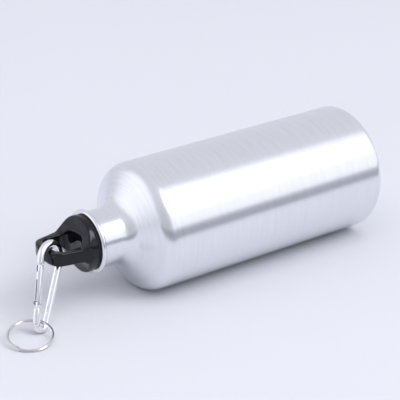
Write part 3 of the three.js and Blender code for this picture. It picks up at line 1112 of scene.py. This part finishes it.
    def gasket(self) -> bmesh.types.BMesh:
        """Turns the flat silicone ring between the lip and the flange.

        Returns:
            The ring.
        """
        inner, outer = self.plug_radius + self.gap, self.radius - self.gasket_inset
        low = self.gasket_start - self.flange_face
        high = low + self.gasket_thickness
        soft = self.gasket_rounding
        profile = rounded([(inner, low, soft), (outer, low, soft), (outer, high, soft),
                           (inner, high, soft)], steps=4)
        return turned(profile, steps=160, closed=True)

    def build(self) -> None:
        """Makes the three pieces."""
        seat = self.bottle.seat().along(self.flange_face)
        MAKER.make("cap", self.shell(), seat, Slot.BLACK_PLASTIC, "cap", "cap_shell")
        MAKER.make("plug", self.plug(), seat, Slot.GREY_PLASTIC, "cap", "threaded_plug")
        MAKER.make("gasket", self.gasket(), seat, Slot.DARK_SILICONE, "seal", "sealing_gasket")


# ---------------------------------------------------------------- carabiner

@dataclass
class Carabiner:
    """Bent rod with a nose hook and a hinge tongue; X from the gate to the spine, Y towards the cap."""

    rod: float = 4.0
    top_bend: float = 7.968
    bottom_bend: float = 3.879
    hinge_height: float = 10.2
    gate_reach: float = 20.1
    gate_tail: float = 1.3
    gate_diameter: float = 3.7
    tongue_thickness: float = 1.2
    tongue_half_width: float = 1.1
    latch_depth: float = 1.7
    latch_diameter: float = 0.8
    notch_back: float = 0.4
    hook_length: float = 3.1
    hook_rounding: float = 0.5
    notch_rounding: float = 0.3
    lip_rounding: float = 0.2
    plate_rounding: float = 0.12
    end_rounding: float = 0.35
    spare: float = 1.0
    gap: float = 0.3
    sides: int = 40

    def __post_init__(self) -> None:
        """Takes the bends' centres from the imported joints, and works the legs out."""
        self.top = Vector(joint_named("carabiner_swing")["pos_m"])
        self.bottom = Vector(joint_named("key_ring_swing")["pos_m"])
        self.normal = Vector(joint_named("carabiner_swing")["axis"]).normalized()
        self.up = (self.top - self.bottom).normalized()
        self.across = self.up.cross(self.normal).normalized()
        self.distance = (self.top - self.bottom).length / MM
        self.leg_angle = math.asin((self.top_bend - self.bottom_bend) / self.distance)
        self.leg_length = self.distance * math.cos(self.leg_angle)

    def seat(self) -> Seat:
        """The bottom bend's centre, with Y up to the top bend's."""
        return Seat(self.bottom, self.across, self.up, self.normal)

    def gate_seat(self) -> Seat:
        """Finds the gate's hinge.

        Returns:
            The hinge, with Y up the gate.
        """
        hinge = Vector(joint_named("gate_open")["pos_m"])
        turn = Matrix.Rotation(self.leg_angle, 3, self.normal)
        return Seat(hinge, turn @ self.across, turn @ self.up, self.normal)

    def on_leg(self, side: int, height: float) -> Vector:
        """A point on a leg's centre line.

        Args:
            side: -1 for the gate's leg, 1 for the spine.
            height: Distance from the leg's foot.

        Returns:
            The point.
        """
        outwards = Vector((side * math.cos(self.leg_angle), -math.sin(self.leg_angle), 0))
        upwards = Vector((side * math.sin(self.leg_angle), math.cos(self.leg_angle), 0))
        return outwards * self.bottom_bend + upwards * height

    def bent_rod(self) -> bmesh.types.BMesh:
        """Bends the rod from its nose round both bends to its foot.

        Returns:
            The rod.
        """
        nose = self.hinge_height + self.gate_reach + self.gap
        foot = self.hinge_height - math.hypot(self.gate_tail, self.gate_diameter / 2) - self.gap
        start = self.on_leg(-1, nose)
        upwards = self.on_leg(-1, self.leg_length) - start
        turn = math.pi + 2 * self.leg_angle
        rod = RodBender(start, upwards.normalized(), self.rod / 2, self.sides)
        rod.straight(upwards, pieces=2)
        rod.bend(Vector((0, self.distance, 0)), -turn, steps=40)
        rod.straight(self.on_leg(1, 0) - self.on_leg(1, self.leg_length), pieces=6)
        rod.bend(Vector((0, 0, 0)), -(2 * math.pi - turn), steps=30)
        rod.straight(self.on_leg(-1, foot) - self.on_leg(-1, 0), pieces=2)
        return rod.finished(self.end_rounding)

    def fittings(self) -> list[bmesh.types.BMesh]:
        """Cuts the nose hook and the foot's hinge tongue from plate.

        Returns:
            The two plates, in their places on the gate's leg.
        """
        half, back = self.tongue_half_width, self.notch_back
        latch = self.gate_reach - self.latch_depth
        notch = self.latch_diameter / 2 + self.gap
        hook_top = self.gate_reach + 2 * self.gap + self.spare
        hook_low = self.gate_reach - self.hook_length
        hook = rounded([
            (-half, hook_low, self.hook_rounding), (half, hook_low, self.hook_rounding),
            (half, latch - notch, self.lip_rounding), (-back, latch - notch, self.notch_rounding),
            (-back, latch + notch, self.notch_rounding), (half, latch + notch, self.lip_rounding),
            (half, hook_top, 0), (-half, hook_top, 0),
        ], steps=4)
        low = -2 * self.gate_tail - self.gate_diameter / 2
        tongue = [(-half, low), (half, low), *arc((0.0, 0.0), half, 0, 180, steps=12)]
        hinge = self.on_leg(-1, self.hinge_height)
        place = Matrix.Translation(hinge) @ Matrix.Rotation(self.leg_angle, 4, "Z")
        plates = []
        for outline in (hook, tongue):
            plate = prism(outline, (0, 1), self.tongue_thickness / 2)
            bevelled(plate, plate.edges, self.plate_rounding)
            bmesh.ops.transform(plate, matrix=place, verts=plate.verts)
            plates.append(plate)
        return plates

    def build(self) -> None:
        """Makes the frame."""
        MAKER.make("carabiner", joined([self.bent_rod(), *self.fittings()]), self.seat(),
                   Slot.POLISHED_ALUMINIUM, "carabiner", "carabiner_frame")


@dataclass
class Gate:
    """The sprung gate; its pieces are drawn round the hinge, with Y up the gate."""

    carabiner: Carabiner
    hinge_pin: float = 1.2
    rivet_head: float = 2.0
    rivet_dome: float = 0.4
    pin_gap: float = 0.12
    latch_offset: float = 0.35
    latch_rounding: float = 0.1
    sleeve_rounding: float = 0.3
    slot_rounding: float = 0.2
    seam_width: float = 0.65
    seam_end: float = 4.0
    spare: float = 1.0
    spring_mean: float = 0.55
    spring_wire: float = 0.3
    spring_length: float = 7.4
    spring_turns: int = 7
    plunger_length: float = 2.1
    plunger_rounding: Pair = (0.3, 0.1)
    bore: float = 0.9

    def upright(self, mesh: bmesh.types.BMesh) -> bmesh.types.BMesh:
        """Turns a mesh made about Z so that it stands along Y."""
        bmesh.ops.rotate(mesh, matrix=Matrix.Rotation(-math.pi / 2, 3, "X"), verts=mesh.verts)
        return mesh

    def slot_tool(self, low: float, high: float, thickness: float,
                  outer_only: bool = False) -> bmesh.types.BMesh:
        """A block that cuts a slot along the gate.

        Args:
            low: The slot's lower end.
            high: The slot's upper end.
            thickness: The slot's width.
            outer_only: Whether it opens only the gate's outer side.

        Returns:
            The block.
        """
        reach = self.carabiner.gate_diameter
        inner = -self.bore / 2 if outer_only else reach
        corner = self.slot_rounding
        outline = [(-reach, low, 0), (inner, low, corner), (inner, high, corner), (-reach, high, 0)]
        return prism(rounded(outline, steps=3), (0, 1), thickness / 2)

    def sleeve(self) -> bmesh.types.BMesh:
        """Cuts the tubular gate, with a seam, a slot at each end and its holes.

        Returns:
            The sleeve.
        """
        sizes, gap, spare = self.carabiner, self.carabiner.gap, self.spare
        radius, tail, reach = sizes.gate_diameter / 2, sizes.gate_tail, sizes.gate_reach
        slot = sizes.tongue_thickness + 2 * gap
        soft = (self.sleeve_rounding, self.sleeve_rounding)
        tube = self.upright(round_bar(radius, -tail, reach, steps=64, rounding=soft))
        tongue_top = sizes.tongue_half_width + gap
        bore_end = tongue_top + self.plunger_length + self.spring_length + 4 * gap
        chamber = self.upright(round_bar(self.bore, 0.0, bore_end, steps=32))
        nose_low = reach - sizes.hook_length - gap
        hole = round_bar(self.hinge_pin / 2 + self.pin_gap, -radius - spare, radius + spare, steps=32)
        tools = [
            chamber,
            self.slot_tool(-tail - spare, tongue_top, slot),
            self.slot_tool(nose_low, reach + spare, slot),
            self.slot_tool(0.0, nose_low - self.seam_end, self.seam_width, True),
            hole,
        ]
        return worked(tube, [(Cut.AWAY, tool) for tool in tools])

    def rivet(self) -> bmesh.types.BMesh:
        """Turns the hinge rivet, with a domed head at each end.

        Returns:
            The rivet.
        """
        under = self.carabiner.gate_diameter / 2 + self.pin_gap
        shank, head, dome = self.hinge_pin / 2, self.rivet_head / 2, self.rivet_dome
        upper = [(shank, under), (head, under), *arc((head - dome, under), dome, 0, 90, steps=5)]
        lower = [(radius, -height) for radius, height in reversed(upper)]
        return turned([(0.0, -under - dome), *lower, *upper, (0.0, under + dome)], steps=32)

    def latch_pin(self) -> bmesh.types.BMesh:
        """Turns the cross pin that the nose hook holds.

        Returns:
            The pin.
        """
        half = self.carabiner.gate_diameter / 2 - self.pin_gap
        radius, soft = self.carabiner.latch_diameter / 2, self.latch_rounding
        pin = round_bar(radius, -half, half, steps=24, rounding=(soft, soft), corner_steps=3)
        height = self.carabiner.gate_reach - self.carabiner.latch_depth
        bmesh.ops.translate(pin, verts=pin.verts, vec=(self.latch_offset, height, 0))
        return pin

    def plunger(self) -> bmesh.types.BMesh:
        """Turns the small plunger between the spring and the tongue.

        Returns:
            The plunger.
        """
        start = self.carabiner.tongue_half_width + 2 * self.carabiner.gap
        end = start + self.plunger_length
        return self.upright(round_bar(self.spring_mean, start, end, steps=24, rounding=self.plunger_rounding))

    def spring(self) -> bmesh.types.BMesh:
        """Winds the closing spring.

        Returns:
            The spring.
        """
        start = self.carabiner.tongue_half_width + 3 * self.carabiner.gap + self.plunger_length
        rise = self.spring_length - self.spring_wire
        section = round_section(self.spring_wire / 2, steps=8)
        wound = coil(section, self.spring_mean, start + self.spring_wire / 2, rise / self.spring_turns,
                     self.spring_turns, steps_per_turn=20)
        return self.upright(wound)

    def build(self) -> None:
        """Makes the gate's five pieces."""
        seat = self.carabiner.gate_seat()
        MAKER.make("gate", self.sleeve(), seat, Slot.POLISHED_ALUMINIUM, "gate", "gate_sleeve")
        MAKER.make("hinge_rivet", self.rivet(), seat, Slot.PIN_STEEL, "carabiner", "gate_hinge_rivet")
        MAKER.make("latch_pin", self.latch_pin(), seat, Slot.PIN_STEEL, "gate", "gate_latch_pin")
        MAKER.make("plunger", self.plunger(), seat, Slot.PIN_STEEL, "gate", "spring_plunger")
        MAKER.make("closing_spring", self.spring(), seat, Slot.SPRING_STEEL, "gate", "gate_spring")


@dataclass
class KeyRing:
    """The split ring: two flat turns of wire that lie on each other."""

    diameter: float = 25.0
    turns: int = 2
    wire_width: float = 1.2
    wire_thickness: float = 0.7
    pitch: float = 0.78
    wire_rounding: float = 0.33

    def seat(self) -> Seat:
        """Finds where the ring hangs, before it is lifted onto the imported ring's lowest point.

        Returns:
            The ring's centre, with X away from the bend that holds it.
        """
        joint = joint_named("key_ring_swing")
        held = Vector(joint["pos_m"])
        tangent = Vector(joint["axis"]).normalized()
        low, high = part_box("split_key_ring")
        away = (low + high) / 2 - held
        away = (away - tangent * away.dot(tangent)).normalized()
        radius = (self.diameter - self.wire_width) / 2
        return Seat(held + away * radius * MM, away, tangent, away.cross(tangent))

    def build(self) -> None:
        """Winds the ring and seats it."""
        width, height, soft = self.wire_width / 2, self.wire_thickness / 2, self.wire_rounding
        section = rounded([(-width, -height, soft), (width, -height, soft), (width, height, soft),
                           (-width, height, soft)], steps=4)
        radius = (self.diameter - self.wire_width) / 2
        ring = coil(section, radius, -self.pitch * self.turns / 2, self.pitch, self.turns, steps_per_turn=120)
        seat = self.seat()
        lowest = min((seat.matrix() @ corner.co).z for corner in ring.verts)
        lift = Vector((0, 0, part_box("split_key_ring")[0].z - lowest))
        MAKER.make("key_ring", ring, replace(seat, origin=seat.origin + lift), Slot.NICKEL_PLATE,
                   "key_ring", "split_key_ring")


# ---------------------------------------------------------------- studio

@dataclass(frozen=True)
class Glow:
    """A round patch of the surroundings that is brighter or darker than the rest."""

    towards: Triple
    half_angle: float
    softness: float
    level: float


@dataclass
class Studio:
    """Pale floor, soft surroundings, a light and the camera."""

    floor_colour: Colour = (0.585, 0.59, 0.62)
    floor_mottle: float = 0.015
    floor_roughness: float = 0.75
    floor_specular: float = 0.2
    floor_half: float = 4.0
    floor_patches: Triple = (3.0, 3.0, 3.0)
    floor_edges: Pair = (0.2, 0.8)
    focal_length: float = 153.0
    sensor_width: float = 36.0
    camera_offset: Triple = (-0.6286, -0.7047, 0.3914)
    camera_forward: Triple = (0.5449, 0.7351, -0.4034)
    tint: Colour = (0.95, 0.965, 1.05)
    ambient: float = 0.8
    horizon: float = 0.1
    horizon_softness: float = 0.02
    front_top: float = 1.38
    front_softness: float = 0.06
    front_level: float = 0.4
    base_side: Pair = (0.05, 0.4)
    ahead: Pair = (0.1, 0.1)
    below_level: float = 0.34
    glows: tuple[Glow, ...] = (
        Glow((-0.8, 0.46, 0.36), 0.5, 0.3, 0.45),
        Glow((-0.6, -0.76, 0.12), 0.55, 0.3, -0.16),
        Glow((0.3, -0.6, 0.74), 0.26, 0.12, 5.2),
    )
    lamp_place: Triple = (-0.2, -0.75, 1.7)
    lamp_aim: Triple = (0.0, 0.0, 0.03)
    lamp_size: Pair = (1.8, 1.5)
    lamp_power: float = 15.0
    flag_place: Triple = (0.2, -2.115, 0.002)
    flag_size: Pair = (5.0, 3.77)
    flag_colour: Colour = (0.38, 0.4, 0.47)

    def sheet(self, name: str, matrix: Matrix, material: bpy.types.Material) -> bpy.types.Object:
        """Lays a flat sheet that belongs to the studio.

        Args:
            name: The sheet's name.
            matrix: Place and half size of the sheet.
            material: What it is covered with.

        Returns:
            The sheet.
        """
        mesh = bmesh.new()
        bmesh.ops.create_grid(mesh, x_segments=8, y_segments=8, size=1.0, matrix=matrix)
        data = mesh_data(name, mesh)
        data.materials.append(material)
        sheet = placed(name, data)
        return sheet

    def floor(self) -> None:
        """A wide pale floor, with no edge in sight."""
        material, surface = new_material("floor")
        tone = surface.noise(self.floor_patches)
        shades = [shade_of(self.floor_colour, 1 + turn * self.floor_mottle) for turn in (-1, 1)]
        inputs = {
            "Base Color": surface.ramp(tone, list(zip(self.floor_edges, shades))),
            "Roughness": self.floor_roughness,
            "Specular IOR Level": self.floor_specular,
        }
        shader = surface.node("ShaderNodeBsdfPrincipled", {}, inputs)
        surface.node("ShaderNodeOutputMaterial", {}, {"Surface": shader.outputs["BSDF"]})
        self.sheet("floor", Matrix.Scale(self.floor_half, 4), material)

    def surroundings(self) -> None:
        """A soft white tent: brighter in front than behind, with a dark band below the horizon ahead.

        Each pair in the fields gives where a rise is half way up, and how far it reaches to each side.
        """
        world = bpy.data.worlds.new("tent")
        world.use_nodes = True
        bpy.context.scene.world = world
        surface = Surface(world.node_tree)
        source = surface.node("ShaderNodeTexCoord")
        parts = surface.node("ShaderNodeSeparateXYZ", {}, {0: source.outputs["Generated"]})
        direction = [Signal(surface, parts.outputs[axis]) for axis in "XYZ"]
        frontward = direction[1] * -1.0
        swing = frontward.maths("ARCTAN2", direction[2], frontward)
        above = surface.step(swing, self.horizon, self.horizon_softness)
        front = above * (1.0 - surface.step(swing, self.front_top, self.front_softness))
        below = surface.step(frontward, *self.ahead) * (1.0 - above)
        level = self.ambient + self.front_level * (front * surface.step(direction[0], *self.base_side))
        level = level - self.below_level * below
        for glow in self.glows:
            toward = Vector(glow.towards).normalized()
            facing = direction[0] * toward.x + direction[1] * toward.y + direction[2] * toward.z
            middle, soft = math.cos(glow.half_angle), math.sin(glow.half_angle) * glow.softness
            level = level + glow.level * surface.step(facing, middle, soft)
        background = surface.node("ShaderNodeBackground", {}, {"Color": (*self.tint, 1.0), "Strength": level})
        surface.node("ShaderNodeOutputWorld", {}, {"Surface": background.outputs["Background"]})

    def lamp(self) -> None:
        """A rectangular soft light over the bottle, which reflections don't show."""
        data = bpy.data.lights.new("top_light", "AREA")
        data.shape = "RECTANGLE"
        data.size, data.size_y = self.lamp_size
        data.energy = self.lamp_power
        place = Vector(self.lamp_place)
        lamp = placed("top_light", data)
        lamp.location = place
        lamp.rotation_mode = "QUATERNION"
        lamp.rotation_quaternion = (Vector(self.lamp_aim) - place).to_track_quat("-Z", "Y")
        lamp.visible_glossy = False

    def flag(self) -> None:
        """A dark card in front of the bottle, out of sight, that only reflections show."""
        material, surface = new_material("flag")
        shader = surface.node("ShaderNodeEmission", {}, {"Color": (*self.flag_colour, 1.0), "Strength": 1.0})
        surface.node("ShaderNodeOutputMaterial", {}, {"Surface": shader.outputs["Emission"]})
        half_size = [side / 2 for side in self.flag_size]
        matrix = Matrix.Translation(self.flag_place) @ Matrix.Diagonal((*half_size, 1.0, 1.0))
        card = self.sheet("flag", matrix, material)
        card.visible_camera = False
        card.visible_diffuse = False
        card.visible_shadow = False
        card.visible_transmission = False

    def camera(self) -> None:
        """The camera, placed from the middle of the bottle's base."""
        low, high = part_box("bottle_shell")
        base = Vector((high.x, 0.0, (low.z + high.z) / 2))
        forward = Vector(self.camera_forward).normalized()
        right = forward.cross(Vector((0, 0, 1))).normalized()
        up = right.cross(forward)
        data = bpy.data.cameras.new("camera")
        data.lens = self.focal_length
        data.sensor_width = self.sensor_width
        camera = placed("camera", data)
        turn = Matrix((right, up, -forward)).transposed().to_4x4()
        camera.matrix_world = Matrix.Translation(base + Vector(self.camera_offset)) @ turn
        bpy.context.scene.camera = camera

    def build(self) -> None:
        """Sets the whole studio up."""
        bpy.context.scene.view_settings.view_transform = "Standard"
        self.camera()
        self.floor()
        self.surroundings()
        self.flag()
        self.lamp()


def main() -> None:
    """Builds the canteen and its studio."""
    logging.basicConfig(level=logging.INFO, format="%(name)s %(message)s")
    Studio().build()
    bottle = Bottle()
    bottle.build()
    Closure(bottle).build()
    carabiner = Carabiner()
    carabiner.build()
    Gate(carabiner).build()
    KeyRing().build()


if __name__ == "__main__":
    main()
